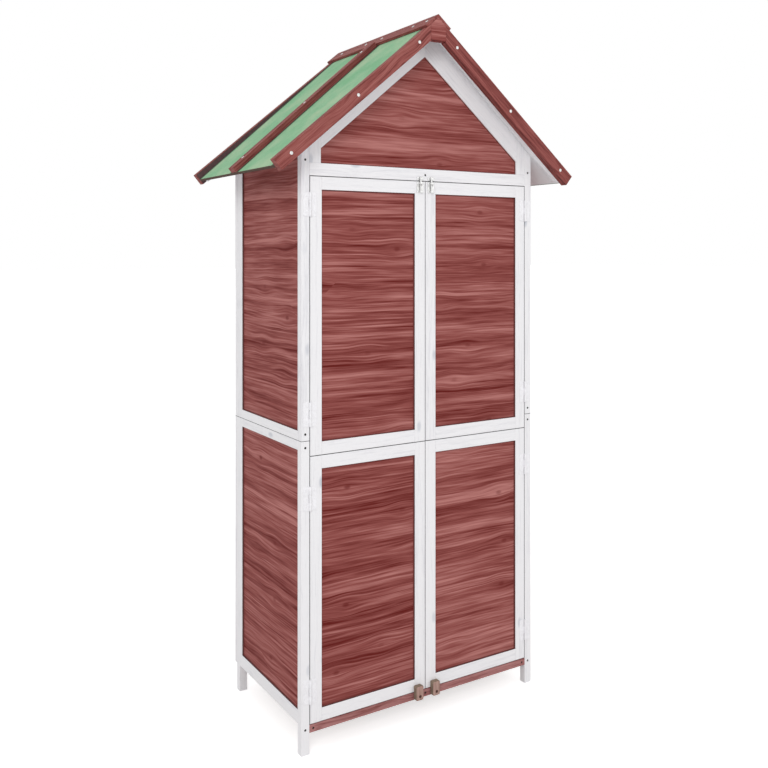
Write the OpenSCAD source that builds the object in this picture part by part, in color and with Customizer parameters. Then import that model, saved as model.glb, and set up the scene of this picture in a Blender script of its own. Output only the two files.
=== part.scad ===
// Tool shed: a slim wooden cabinet on four legs under a pitched roof.
// Two halves of frame-and-plank walls stand on each other, and four door
// leaves hang on butt hinges. Millimetres, +Z up, front towards -Y.
// The origin is on the ground, under the middle of the roof.

/* [Body] */
// Width over the corner posts
body_w = 750; // [640:1:800]
// Depth over the corner posts, without the back panels
body_d = 414; // [340:1:430]
// Height of the joint between the lower and the upper half
seam_z = 787; // [720:1:860]
// Height of the upper half, from this joint to the top of the header
upper_half_h = 698.5; // [640:0.5:760]
// Height of the posts above the header, at the sides of the shed
heel_h = 56.5; // [45:0.5:70]
// Width of a post, seen from the front
post_w = 23; // [19:0.5:28]
// Depth of a post, which the sill, header and gables share
post_t = 21; // [19:0.5:28]
// Depth of a back post above its leg
back_stile_d = 38; // [28:1:60]
// Thickness of the side rails
rail_t = 21; // [16:0.5:23]
// Height of the underside of the bottom rails
bottom_rail_z = 75; // [72:1:110]
// Height of a bottom rail
bottom_rail_h = 35; // [24:1:50]
// Height of the side rail just below the joint of the halves
seam_rail_below_h = 24; // [18:1:40]
// Height of the side rail just above the joint of the halves
seam_rail_above_h = 24; // [18:1:40]
// Height of the outer face of the side rail under the roof
eaves_rail_h = 30; // [20:1:40]
// Thickness of the wall planks
plank_t = 10; // [6:0.5:14]
// How far the planks lie behind the faces of their frame
plank_recess = 4; // [1:0.5:6]
// Hairline left at a wood joint
joint_gap = 0.1; // [0.05:0.05:0.3]

/* [Back panels] */
// Thickness of the back frames
back_frame_t = 13; // [10:0.5:20]
// Width of the members of the back frames
back_member_w = 36; // [25:1:50]
// Thickness of the back planks
back_plank_t = 8; // [5:0.5:9]

/* [Floor and sill] */
// Height of the underside of the sill
sill_z = 54; // [45:0.5:56]
// Height of the sill
sill_h = 19.5; // [16:0.5:21.5]
// Length of the tenons at the ends of the sill and header
tenon_l = 17; // [14:0.5:18]
// Height of these tenons
tenon_h = 13; // [9:0.5:15]
// Thickness of these tenons
tenon_t = 10; // [6:0.5:12]
// Width of a floor bearer
bearer_w = 22; // [18:1:40]
// Thickness of the floor boards
floor_t = 10; // [8:0.5:16]
// Number of floor boards
floor_boards_n = 5; // [3:1:8]
// Gap between two floor boards
floor_gap = 1; // [0.5:0.5:4]

/* [Doors] */
// Distance of the gap between lower and upper leaves from the joint of the halves
door_seam_drop = 39.5; // [30:0.5:60]
// Gap around each door leaf
door_gap = 2; // [1.5:0.25:3]
// Thickness of a door leaf
door_t = 20; // [17:0.5:20.5]
// Width of a door stile
stile_w = 33; // [30:1:60]
// Height of a door rail
door_rail_h = 33; // [26:1:60]

/* [Header and door stop] */
// Height of the header
header_h = 32; // [26:1:36]
// Thickness of the door stop behind the header
stop_t = 12; // [8:1:20]
// Height of the door stop
stop_h = 34; // [28:1:50]
// How far the stop reaches down behind the upper leaves
stop_lap = 13; // [6:1:20]

/* [Gables] */
// Distance from the side of the shed to the gable planks
gable_inset = 55.5; // [50:0.5:70]
// Height of a gable's raking rails where they meet, measured plumb
gable_rail_h = 82; // [70:1:90]

/* [Roof] */
// Width over the eaves
roof_w = 958; // [900:1:962]
// How far the front bargeboards stand in front of the posts
front_overhang = 63; // [50:1:90]
// How far the back bargeboards stand behind the posts
back_overhang = 75; // [50:1:100]
// Pitch of the bargeboards, in degrees
roof_pitch = 40; // [38:0.25:40.25]
// How far the bargeboards stand above the felt at the eaves
verge_rise = 16; // [6:0.5:20]
// Thickness of the roof boards
roof_board_t = 6; // [4:0.5:10]
// Thickness of the roofing felt
felt_t = 2; // [1:0.5:3]
// Height of a bargeboard, square to its slope
barge_h = 34; // [30:1:36]
// Thickness of a bargeboard
barge_t = 22; // [15:1:26]
// Width of the block where two bargeboards meet
apex_block_w = 48; // [40:1:70]
// Height of this block
apex_block_h = 62; // [58:1:70]
// Width of a batten on the felt
batten_w = 34; // [25:1:50]
// Thickness of this batten
batten_t = 15; // [10:0.5:20]
// Width of a batten under the roof boards, behind a bargeboard
verge_batten_w = 20; // [14:1:24]
// Thickness of this batten
verge_batten_t = 10; // [8:0.5:12]
// Width of a ridge cap board
cap_w = 47; // [35:1:60]
// Thickness of a ridge cap board
cap_t = 7; // [5:0.5:12]

/* [Hinges] */
// Length of a hinge
hinge_l = 60; // [50:1:80]
// Width of a hinge plate from the pin
hinge_plate_w = 19; // [15:0.5:20]
// Thickness of a hinge plate
hinge_plate_t = 1.2; // [0.8:0.1:1.6]
// Outer radius of a knuckle
knuckle_r = 3; // [2.6:0.1:3.6]
// Radius of a hinge pin
pin_r = 1.5; // [1.2:0.1:1.7]
// Radial play between a pin and its knuckles
pin_play = 0.05; // [0.02:0.01:0.09]
// Number of knuckles of a hinge
knuckle_n = 3; // [3:2:7]
// Distance from the top of an upper leaf to its top hinge's middle
upper_hinge_end = 71; // [60:1:120]
// Distance from the bottom of a lower leaf to its bottom hinge's middle
lower_hinge_end = 82; // [60:1:120]
// Distance from a leaf's end at the door seam to its other hinge's middle
seam_hinge_end = 104.5; // [60:0.5:140]

/* [Bolts] */
// Radius of a bolt rod
rod_r = 2.5; // [2:0.1:3]
// Length of a bolt rod
rod_l = 42; // [40:1:46]
// Travel of a bolt rod
bolt_travel = 12; // [10:0.5:13]
// Radial play between a rod and its guides
rod_play = 0.05; // [0.02:0.01:0.09]
// Width of a bolt's base plate
bolt_plate_w = 22; // [18:0.5:28]
// Height of a bolt's base plate
bolt_plate_h = 30; // [28:1:34]
// Thickness of the plates of a bolt and its keeper
bolt_plate_t = 1.2; // [0.8:0.1:2]
// Height of a rod guide and of a keeper's loop
guide_h = 5; // [4:0.5:6]
// Height of a keeper's plate
keeper_h = 9; // [8:0.5:14]
// Radial play between a rod and its keeper
keeper_play = 0.4; // [0.2:0.1:1]

/* [Turn buttons] */
// Distance from the middle of the shed to a button's screw
button_x = 27; // [24:1:60]
// Width of a button
button_w = 23; // [18:1:26]
// Thickness of a button
button_t = 15; // [10:0.5:20]
// Distance from a button's screw to its upper end
button_up = 27; // [22:1:30]
// Distance from a button's screw to its lower end
button_down = 11; // [8:0.5:14]
// Radius of the corners of a button
button_corner_r = 4; // [1:0.5:6]
// Gap between a button and the sill
button_gap = 0.3; // [0.2:0.1:1]

/* [Screws and dowels] */
// Shank radius of a wood screw
screw_r = 1.75; // [1.5:0.05:2]
// Head radius of a frame screw, sunk in its hole
sunk_head_r = 3; // [2.5:0.1:3.5]
// Depth of the hole around a sunk head
sunk_depth = 2.2; // [1.5:0.1:3]
// Head radius of a roof screw
roof_head_r = 4.5; // [3:0.1:5]
// Height of a roof screw's head
roof_head_h = 1.5; // [1:0.1:2]
// Shank radius of a small screw in the door hardware
small_screw_r = 1.2; // [1:0.05:1.5]
// Head radius of this screw
small_head_r = 2.4; // [2:0.1:2.6]
// Height of this screw's head
small_head_h = 0.8; // [0.5:0.1:1]
// Length of this screw
small_screw_l = 13; // [10:1:15]
// Radius of a dowel between the halves
dowel_r = 4; // [3:0.5:5]
// Length of this dowel
dowel_l = 28; // [18:1:30]

/* [Hidden] */
$fn = 32;

// Colours of the paint, stain, felt and metal
white = "#ECECEE";
stain = "#965854";
trim_stain = "#8E5250";
felt_green = "#92BE96";
zinc = "#C9CBCD";
black_steel = "#2B2927";
bare_wood = "#AB8A80";
dowel_wood = "#D8BF95";

// Body, seen from above
half_w = body_w / 2;
roof_d = front_overhang + body_d + back_overhang;
front_y = front_overhang - roof_d / 2;
back_y = front_y + body_d;
mid_y = (front_y + back_y) / 2;
post_in_x = half_w - post_w;
rails_y0 = front_y + post_t;
stile_y = back_y - back_stile_d;

// Header, sill and door leaves
header_top = seam_z + upper_half_h;
header_z = header_top - header_h;
eaves_rail_z = header_top + heel_h - eaves_rail_h;
sill_top = sill_z + sill_h;
door_seam_z = seam_z - door_seam_drop;
lower_z0 = sill_top + door_gap;
lower_z1 = door_seam_z - door_gap / 2;
upper_z0 = door_seam_z + door_gap / 2;
upper_z1 = header_z - door_gap;
leaf_x0 = door_gap / 2;
leaf_x1 = post_in_x - door_gap;

// Roof planes: the felt meets the bargeboards' top at the ridge and lies
// verge_rise below it at the eaves, so its pitch is a little steeper
slope_l = roof_w / 2 / cos(roof_pitch);
felt_pitch = roof_pitch + atan(verge_rise / slope_l);
felt_l = slope_l / cos(felt_pitch - roof_pitch);
panel_t = roof_board_t + felt_t;
panel_y = roof_d / 2 - barge_t;
panel_drop = panel_t / cos(felt_pitch) + joint_gap;
apex_z = header_top + heel_h + half_w * tan(felt_pitch) + panel_drop;
verge_batten_end = 12;
cap_gap = 1;

// A point of a roof plane: s down the slope from the apex, h above it
function slope_pt(pitch, s, h) =
    [s * cos(pitch) + h * sin(pitch), apex_z - s * sin(pitch) + h * cos(pitch)];
// Distance down the slope of the point at height h that lies at x
function plumb_s(pitch, h, x) = (x - h * sin(pitch)) / cos(pitch);
// A layer between heights h0 and h1, cut plumb at x and square at its end
function layer(pitch, h0, h1, x, s_end) = [
    slope_pt(pitch, plumb_s(pitch, h0, x), h0), slope_pt(pitch, s_end, h0),
    slope_pt(pitch, s_end, h1), slope_pt(pitch, plumb_s(pitch, h1, x), h1)
];
// Height of the underside of the roof boards
function under_z(x) = apex_z - panel_drop - abs(x) * tan(felt_pitch);
// Height of the upper edge of the gable planks
function gable_z(x) = apex_z - panel_drop - gable_rail_h - abs(x) * tan(roof_pitch);
// Height of the top edge of the bargeboards
function barge_z(x) = apex_z - abs(x) * tan(roof_pitch);

// Hinges: the pin stands in front of the gap between post and door
hinge_clear = 0.3;
screw_hole_play = 0.2;
hinge_x = post_in_x - door_gap / 2;
hinge_y = front_y - knuckle_r - hinge_clear;
notch_play = 0.6;
plate_notch = knuckle_r + notch_play;
knuckle_gap = 0.3;
pin_head_r = knuckle_r - 0.8;
pin_head_h = 1;
hinge_screw_n = 3;
small_hole_r = small_screw_r + screw_hole_play;
hinge_screw_x = hinge_x - (plate_notch + hinge_plate_w) / 2;
upper_hinges = [upper_z0 + seam_hinge_end, upper_z1 - upper_hinge_end];
lower_hinges = [lower_z0 + lower_hinge_end, lower_z1 - seam_hinge_end];
hinges = concat(lower_hinges, upper_hinges);

// Bolts: one in the middle of the inner stile of each upper leaf
bolt_x = leaf_x0 + stile_w / 2;
hardware_edge = 1;
rod_stand_off = 0.6;
rod_reach = bolt_travel - hardware_edge;
guide_wall = 1.2;
bolt_plate_z0 = upper_z1 - bolt_plate_h - hardware_edge;
rod_y = front_y - bolt_plate_t - rod_stand_off - rod_r;
rod_top = header_z + rod_reach;
rod_bottom = rod_top - rod_l;
guide_w = 2 * (rod_r + 2);
guide_y0 = rod_y - rod_r - guide_wall;
lower_guide_z = bolt_plate_z0 + hardware_edge;
upper_guide_z = bolt_plate_z0 + bolt_plate_h - guide_h - hardware_edge;
knob_r = 2;
knob_l = 7;
knob_z = upper_guide_z - knob_r - hardware_edge;
plate_screw_edge = 3;
bolt_screw_x = bolt_plate_w / 2 - plate_screw_edge;
bolt_screw_zs = [lower_guide_z + guide_h / 2, upper_guide_z + guide_h / 2];
keeper_z0 = header_z + hardware_edge;
keeper_screw_x = 8;

// Sill screws lie in the middle of its height, and the buttons' pivot screws a little higher
sill_screw_z = sill_z + sill_h / 2;
button_rise = 3.25;
button_z = sill_screw_z + button_rise;
button_y1 = front_y - button_gap;
button_y0 = button_y1 - button_t;
button_screw_r = 2;
button_screw_play = 0.05;
button_head_r = 3.8;
button_head_h = 1.6;
button_screw_bite = 16;

// Frame screws: heights of the screws through the front posts
rail_screw_edge = 6.5;
seam_screw_dz = dowel_l / 2 + screw_r + 1.25;
lower_post_screws = [sill_screw_z, seam_z - seam_screw_dz];
upper_post_screws = [seam_z + seam_screw_dz, header_top + rail_screw_edge];
bearer_xs = [-(post_in_x - bearer_w / 2), 0, post_in_x - bearer_w / 2];
sunk_head_h = 1.2;
sunk_play = 0.2;
screw_grip = 25;
pin_screw_l = post_t - 5;
stop_screw_l = post_t + stop_t - 5;
back_screw_l = back_frame_t + 15;
back_screw_ends = 60;
back_screw_n = 3;
tenon_play = 0.15;
dowel_play = 0.05;
dowel_end_gap = 0.5;

// Roof screws: places down the slope, and along the ridge
slope_screws = [94, 336, slope_l - 46];
cap_screws = [27 - roof_d / 2, 93 - roof_d / 2, mid_y - 14, mid_y + 76, roof_d / 2 - 59];
cap_screw_s = 20;
screw_end_in = 2;

// Shapes shared by many pieces

module block(x0, x1, y0, y1, z0, z1) {
    translate([x0, y0, z0]) cube([x1 - x0, y1 - y0, z1 - z0]);
}

// A solid with an outline in the X-Z plane, between two depths
module prism(points, y0, y1) {
    translate([0, y1, 0]) rotate([90, 0, 0]) linear_extrude(y1 - y0) polygon(points);
}

module both_sides() {
    children();
    mirror([1, 0, 0]) children();
}

module front_and_back() {
    children();
    mirror([0, 1, 0]) children();
}

module side(right) {
    if (right) children();
    else mirror([1, 0, 0]) children();
}

// A cylinder along Y, from y0 to y1
module rod_y_axis(x, z, r, y0, y1) {
    translate([x, y1, z]) rotate([90, 0, 0]) cylinder(r = r, h = y1 - y0);
}

// A wood screw along +Y whose flat head lies on the plane y
module sunk_screw(x, y, z, length) {
    rod_y_axis(x, z, sunk_head_r, y - sunk_head_h, y);
    rod_y_axis(x, z, screw_r, y, y + length);
}

module sunk_hole(x, y, z) {
    rod_y_axis(x, z, sunk_head_r + sunk_play, y - 1, y + sunk_depth);
}

module small_screw(x, y, z) {
    rod_y_axis(x, z, small_head_r, y - small_head_h, y);
    rod_y_axis(x, z, small_screw_r, y, y + small_screw_l);
}

// Corner posts

module post_bores(y, z0) {
    translate([half_w - post_w / 2, y, z0 - dowel_l / 2]) cylinder(r = dowel_r + dowel_play, h = dowel_l);
}

module front_posts_lower() {
    color(white) both_sides() difference() {
        block(post_in_x, half_w, front_y, rails_y0, 0, seam_z);
        tenon(sill_z + sill_h / 2, front_y, tenon_play);
        post_bores(front_y + post_t / 2, seam_z);
        for (z = lower_post_screws) sunk_hole(half_w - post_w / 2, front_y, z);
    }
}

module front_posts_upper() {
    color(white) both_sides() difference() {
        prism([[post_in_x, seam_z], [half_w, seam_z], [half_w, under_z(half_w)],
            [post_in_x, under_z(post_in_x)]], front_y, rails_y0);
        tenon(header_z + header_h / 2, front_y, tenon_play);
        post_bores(front_y + post_t / 2, seam_z);
        for (z = upper_post_screws) sunk_hole(half_w - post_w / 2, front_y, z);
    }
}

module back_posts_lower() {
    color(white) both_sides() difference() {
        union() {
            block(post_in_x, half_w, back_y - post_t, back_y, 0, seam_z);
            block(post_in_x, half_w, stile_y, back_y, bottom_rail_z, seam_z);
        }
        tenon(sill_z + sill_h / 2, back_y - post_t, tenon_play);
        post_bores(back_y - post_t / 2, seam_z);
    }
}

module back_posts_upper() {
    color(white) both_sides() difference() {
        prism([[post_in_x, seam_z], [half_w, seam_z], [half_w, under_z(half_w)],
            [post_in_x, under_z(post_in_x)]], stile_y, back_y);
        tenon(header_z + header_h / 2, back_y - post_t, tenon_play);
        post_bores(back_y - post_t / 2, seam_z);
    }
}

module frame_dowels() {
    color(dowel_wood) both_sides() for (y = [front_y + post_t / 2, back_y - post_t / 2])
        translate([half_w - post_w / 2, y, seam_z - dowel_l / 2 + dowel_end_gap])
            cylinder(r = dowel_r, h = dowel_l - 2 * dowel_end_gap);
}

// Side walls

module side_rail(z0, z1) {
    block(half_w - rail_t, half_w, rails_y0, stile_y, z0, z1);
}

module side_rails_lower() {
    color(white) both_sides() {
        side_rail(bottom_rail_z, bottom_rail_z + bottom_rail_h);
        side_rail(seam_z - seam_rail_below_h, seam_z);
    }
}

module side_rails_upper() {
    color(white) both_sides() {
        side_rail(seam_z, seam_z + seam_rail_above_h);
        prism([[half_w - rail_t, eaves_rail_z], [half_w, eaves_rail_z], [half_w, under_z(half_w)],
            [half_w - rail_t, under_z(half_w - rail_t)]], rails_y0, stile_y);
    }
}

module side_plank(z0, z1) {
    x1 = half_w - plank_recess;
    color(stain) both_sides() block(x1 - plank_t, x1, rails_y0 + joint_gap, stile_y - joint_gap,
        z0 + joint_gap, z1 - joint_gap);
}

module side_planks_lower() {
    side_plank(bottom_rail_z + bottom_rail_h, seam_z - seam_rail_below_h);
}

module side_planks_upper() {
    side_plank(seam_z + seam_rail_above_h, eaves_rail_z);
}

// Back panels: a frame with a middle post, and planks in its two openings

module back_frame(z0, z1) {
    g = joint_gap;
    w = back_member_w;
    color(white) {
        both_sides() {
            difference() {
                block(half_w - w, half_w, back_y, back_y + back_frame_t, z0, z1);
                for (z = back_screw_zs(z0, z1)) mirror([0, 1, 0]) sunk_hole(half_w - post_w / 2,
                    -(back_y + back_frame_t), z);
            }
            block(w / 2 + g, half_w - w - g, back_y, back_y + back_frame_t, z0, z0 + w);
            block(w / 2 + g, half_w - w - g, back_y, back_y + back_frame_t, z1 - w, z1);
        }
        block(-w / 2, w / 2, back_y, back_y + back_frame_t, z0, z1);
    }
}

module back_planks(z0, z1) {
    g = joint_gap;
    w = back_member_w;
    y0 = back_y + (back_frame_t - back_plank_t) / 2;
    color(stain) both_sides() block(w / 2 + g, half_w - w - g, y0, y0 + back_plank_t, z0 + w + g,
        z1 - w - g);
}

function back_screw_zs(z0, z1) = [for (i = [0 : back_screw_n - 1])
    z0 + back_screw_ends + i * (z1 - z0 - 2 * back_screw_ends) / (back_screw_n - 1)];

module back_frame_lower() { back_frame(bottom_rail_z, seam_z); }
module back_frame_upper() { back_frame(seam_z, header_top); }
module back_planks_lower() { back_planks(bottom_rail_z, seam_z); }
module back_planks_upper() { back_planks(seam_z, header_top); }

// Sill, header and floor

// A tenon at the right end of a sill or header, or with play its mortise
module tenon(z, y, play) {
    y0 = y + (post_t - tenon_t) / 2;
    block(post_in_x - 1, post_in_x + tenon_l + play, y0 - play, y0 + tenon_t + play,
        z - tenon_h / 2 - play, z + tenon_h / 2 + play);
}

module cross_member(y, z0, h) {
    block(-(post_in_x - joint_gap), post_in_x - joint_gap, y, y + post_t, z0, z0 + h);
    both_sides() tenon(z0 + h / 2, y, 0);
}

module front_sill() {
    color(trim_stain) difference() {
        cross_member(front_y, sill_z, sill_h);
        for (x = bearer_xs) sunk_hole(x, front_y, sill_screw_z);
    }
}

module back_sill() {
    color(trim_stain) difference() {
        cross_member(back_y - post_t, sill_z, sill_h);
        for (x = bearer_xs) mirror([0, 1, 0]) sunk_hole(x, -back_y, sill_screw_z);
    }
}

module floor_bearers() {
    color(bare_wood) for (x = bearer_xs)
        block(x - bearer_w / 2 + joint_gap, x + bearer_w / 2 - joint_gap, rails_y0, back_y - post_t,
            sill_z, sill_top);
}

module floor_boards() {
    depth = back_y - rails_y0 - 2 * joint_gap;
    board = (depth + floor_gap) / floor_boards_n - floor_gap;
    color(bare_wood) for (i = [0 : floor_boards_n - 1]) {
        y = rails_y0 + joint_gap + i * (board + floor_gap);
        block(-(post_in_x - joint_gap), post_in_x - joint_gap, y, y + board, sill_top, sill_top + floor_t);
    }
}

module front_header() {
    color(white) difference() {
        cross_member(front_y, header_z, header_h);
        sunk_hole(0, front_y, header_z + header_h / 2);
    }
}

module back_header() {
    color(white) cross_member(back_y - post_t, header_z, header_h);
}

module door_stop() {
    z0 = header_z - door_gap - stop_lap;
    color(white) block(-(post_in_x - joint_gap), post_in_x - joint_gap, rails_y0, rails_y0 + stop_t,
        z0, z0 + stop_h);
}

// Gables: a short stile beside each post, two raking rails, and planks

module gable_frame(y) {
    xs = half_w - gable_inset;
    g = joint_gap;
    color(white) both_sides() {
        prism([[xs + g, header_top], [post_in_x - g, header_top], [post_in_x - g, under_z(post_in_x)],
            [xs + g, under_z(xs)]], y, y + post_t);
        prism([[g / 2, gable_z(0)], [xs, gable_z(xs)], [xs, under_z(xs)], [g / 2, under_z(0)]],
            y, y + post_t);
    }
}

module front_gable_frame() { gable_frame(front_y); }
module back_gable_frame() { gable_frame(back_y - post_t); }

module gable_panel(y) {
    xs = half_w - gable_inset - joint_gap;
    z0 = header_top + joint_gap;
    g = 2 * joint_gap;
    prism([[-xs, z0], [xs, z0], [xs, gable_z(xs) - g], [0, gable_z(0) - g], [-xs, gable_z(xs) - g]],
        y, y + plank_t);
}

module gable_planks() {
    color(stain) {
        gable_panel(front_y + plank_recess);
        gable_panel(back_y - plank_recess - plank_t);
    }
}

// Roof

module roof_boards() {
    color(white) both_sides() prism(layer(felt_pitch, -panel_t, -felt_t, joint_gap / 2, felt_l - felt_t),
        -panel_y, panel_y);
}

// The felt is folded down over the eaves
module roofing_felt() {
    p = felt_pitch;
    x = joint_gap / 2;
    color(felt_green) both_sides() prism([
        slope_pt(p, plumb_s(p, -felt_t, x), -felt_t), slope_pt(p, felt_l - felt_t, -felt_t),
        slope_pt(p, felt_l - felt_t, -panel_t), slope_pt(p, felt_l, -panel_t),
        slope_pt(p, felt_l, 0), slope_pt(p, plumb_s(p, 0, x), 0)], -panel_y, panel_y);
}

module verge_battens() {
    color(white) front_and_back() both_sides()
        prism(layer(felt_pitch, -panel_t - joint_gap - verge_batten_t, -panel_t - joint_gap,
            joint_gap / 2, felt_l - verge_batten_end),
            -panel_y, -panel_y + verge_batten_w);
}

module bargeboards() {
    color(trim_stain) front_and_back() both_sides()
        prism(layer(roof_pitch, -barge_h, 0, apex_block_w / 2 + joint_gap, slope_l), -roof_d / 2, -panel_y);
}

module apex_blocks() {
    x = apex_block_w / 2;
    color(stain) front_and_back()
        prism([[-x, apex_z - apex_block_h], [x, apex_z - apex_block_h], [x, barge_z(x)], [0, apex_z],
            [-x, barge_z(x)]], -roof_d / 2, -panel_y);
}

module roof_battens() {
    p = felt_pitch;
    s0 = cap_w + cap_gap;
    color(trim_stain) both_sides()
        prism([slope_pt(p, s0, 0), slope_pt(p, felt_l, 0), slope_pt(p, felt_l, batten_t),
            slope_pt(p, s0, batten_t)], mid_y - batten_w / 2, mid_y + batten_w / 2);
}

module ridge_cap() {
    color(trim_stain) both_sides() prism(layer(roof_pitch, 0, cap_t, joint_gap / 2, cap_w), -roof_d / 2,
        roof_d / 2);
}

// Screws that hold the frame, with their heads at the bottom of their holes

module frame_screws() {
    x = half_w - post_w / 2;
    y = front_y + sunk_depth;
    color(black_steel) {
        both_sides() {
            sunk_screw(x, y, lower_post_screws[0], pin_screw_l);
            for (z = concat([lower_post_screws[1]], upper_post_screws))
                sunk_screw(x, y, z, post_t + screw_grip);
            for (z = concat(back_screw_zs(bottom_rail_z, seam_z), back_screw_zs(seam_z, header_top)))
                mirror([0, 1, 0]) sunk_screw(x, -(back_y + back_frame_t - sunk_depth), z, back_screw_l);
        }
        for (x = bearer_xs) {
            sunk_screw(x, y, sill_screw_z, post_t + screw_grip);
            mirror([0, 1, 0]) sunk_screw(x, -(back_y - sunk_depth), sill_screw_z, post_t + screw_grip);
        }
        sunk_screw(0, y, header_z + header_h / 2, stop_screw_l);
    }
}

// A roof screw square to a plane, with its head on the plane at height h
module slope_screw(pitch, s, h, y, length) {
    p = slope_pt(pitch, s, h);
    translate([p[0], y, p[1]]) rotate([0, pitch, 0]) {
        cylinder(r = roof_head_r, h = roof_head_h);
        translate([0, 0, -length]) cylinder(r = screw_r, h = length);
    }
}

module roof_screws() {
    color(zinc) both_sides() {
        front_and_back() for (s = slope_screws) {
            p = slope_pt(roof_pitch, s, -barge_h / 2);
            rod_y_axis(p[0], p[1], roof_head_r, -roof_d / 2 - roof_head_h, -roof_d / 2);
            rod_y_axis(p[0], p[1], screw_r, -roof_d / 2, -panel_y + verge_batten_w - screw_end_in);
        }
        for (s = slope_screws)
            slope_screw(felt_pitch, s, batten_t, mid_y, batten_t + panel_t - screw_end_in);
        for (y = cap_screws) slope_screw(roof_pitch, cap_screw_s, cap_t, y, cap_t + panel_t - screw_end_in);
    }
}

// Hinges, drawn for the right side, where the plate on the post lies outwards

module knuckles(z, first) {
    step = hinge_l / knuckle_n;
    for (i = [first : 2 : knuckle_n - 1])
        translate([hinge_x, hinge_y, z - hinge_l / 2 + i * step + knuckle_gap / 2])
            cylinder(r = knuckle_r, h = step - knuckle_gap);
}

// The strips that join a plate to its knuckles
module knuckle_strips(z, first, direction) {
    step = hinge_l / knuckle_n;
    x0 = direction > 0 ? hinge_x : hinge_x - plate_notch - 0.1;
    for (i = [first : 2 : knuckle_n - 1])
        block(x0, x0 + plate_notch + 0.1, front_y - hinge_plate_t, front_y,
            z - hinge_l / 2 + i * step + knuckle_gap / 2, z - hinge_l / 2 + (i + 1) * step - knuckle_gap / 2);
}

function hinge_screw_z(z, i) = z + (i - (hinge_screw_n - 1) / 2) * hinge_l / hinge_screw_n;

// Half a hinge: direction 1 is the plate on the post, -1 the one on the door
module hinge_half(z, first, direction) {
    x0 = direction > 0 ? hinge_x + plate_notch : hinge_x - hinge_plate_w;
    screw_x = direction > 0 ? 2 * hinge_x - hinge_screw_x : hinge_screw_x;
    difference() {
        union() {
            knuckles(z, first);
            knuckle_strips(z, first, direction);
            block(x0, x0 + hinge_plate_w - plate_notch, front_y - hinge_plate_t, front_y,
                z - hinge_l / 2 + knuckle_gap / 2, z + hinge_l / 2 - knuckle_gap / 2);
        }
        translate([hinge_x, hinge_y, z - hinge_l]) cylinder(r = pin_r + pin_play, h = 2 * hinge_l);
        for (i = [0 : hinge_screw_n - 1])
            rod_y_axis(screw_x, hinge_screw_z(z, i), small_hole_r, front_y - 2 * hinge_plate_t, front_y + 1);
    }
}

module hinge_post_plates() {
    color(zinc) both_sides() for (z = hinges) hinge_half(z, 0, 1);
}

module hinge_pins() {
    color(zinc) both_sides() for (z = hinges) translate([hinge_x, hinge_y, z - hinge_l / 2]) {
        translate([0, 0, -pin_head_h]) cylinder(r = pin_head_r, h = pin_head_h);
        cylinder(r = pin_r, h = hinge_l);
        translate([0, 0, hinge_l]) cylinder(r = pin_head_r, h = pin_head_h);
    }
}

// Small screws of the post plates and of the bolt keepers
module hardware_screws() {
    color(zinc) both_sides() {
        for (z = hinges) for (i = [0 : hinge_screw_n - 1])
            small_screw(2 * hinge_x - hinge_screw_x, front_y - hinge_plate_t, hinge_screw_z(z, i));
        for (dx = [-keeper_screw_x, keeper_screw_x])
            small_screw(bolt_x + dx, front_y - bolt_plate_t, keeper_z0 + keeper_h / 2);
    }
}

// Door leaves, drawn on the right

module leaf_frame(z0, z1) {
    g = joint_gap;
    y1 = front_y + door_t;
    block(leaf_x0, leaf_x0 + stile_w, front_y, y1, z0, z1);
    block(leaf_x1 - stile_w, leaf_x1, front_y, y1, z0, z1);
    block(leaf_x0 + stile_w + g, leaf_x1 - stile_w - g, front_y, y1, z0, z0 + door_rail_h);
    block(leaf_x0 + stile_w + g, leaf_x1 - stile_w - g, front_y, y1, z1 - door_rail_h, z1);
}

module leaf_planks(z0, z1) {
    g = joint_gap;
    y0 = front_y + plank_recess;
    block(leaf_x0 + stile_w + g, leaf_x1 - stile_w - g, y0, y0 + plank_t, z0 + door_rail_h + g,
        z1 - door_rail_h - g);
}

module leaf_hinge_screws(zs) {
    for (z = zs) for (i = [0 : hinge_screw_n - 1])
        small_screw(hinge_screw_x, front_y - hinge_plate_t, hinge_screw_z(z, i));
}

module bolt_screws() {
    for (dx = [-bolt_screw_x, bolt_screw_x]) for (z = bolt_screw_zs)
        small_screw(bolt_x + dx, front_y - bolt_plate_t, z);
}

module upper_frame(right) { color(white) side(right) leaf_frame(upper_z0, upper_z1); }
module lower_frame(right) { color(white) side(right) leaf_frame(lower_z0, lower_z1); }
module upper_planks(right) { color(stain) side(right) leaf_planks(upper_z0, upper_z1); }
module lower_planks(right) { color(stain) side(right) leaf_planks(lower_z0, lower_z1); }

module door_plates(right, zs) {
    color(zinc) side(right) for (z = zs) hinge_half(z, 1, -1);
}

module upper_screws(right) {
    color(zinc) side(right) {
        leaf_hinge_screws(upper_hinges);
        bolt_screws();
    }
}

module lower_screws(right) {
    color(zinc) side(right) leaf_hinge_screws(lower_hinges);
}

// Barrel bolts

// A loop around the rod, standing on a plate
module rod_loop(z, play) {
    difference() {
        block(bolt_x - guide_w / 2, bolt_x + guide_w / 2, guide_y0, front_y - bolt_plate_t / 2,
            z, z + guide_h);
        translate([bolt_x, rod_y, z - 1]) cylinder(r = rod_r + play, h = guide_h + 2);
    }
}

module bolt_base(right) {
    color(zinc) side(right) {
        difference() {
            block(bolt_x - bolt_plate_w / 2, bolt_x + bolt_plate_w / 2, front_y - bolt_plate_t, front_y,
                bolt_plate_z0, bolt_plate_z0 + bolt_plate_h);
            for (dx = [-bolt_screw_x, bolt_screw_x]) for (z = bolt_screw_zs)
                rod_y_axis(bolt_x + dx, z, small_hole_r, front_y - 2 * bolt_plate_t, front_y + 1);
        }
        rod_loop(lower_guide_z, rod_play);
        rod_loop(upper_guide_z, rod_play);
    }
}

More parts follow.
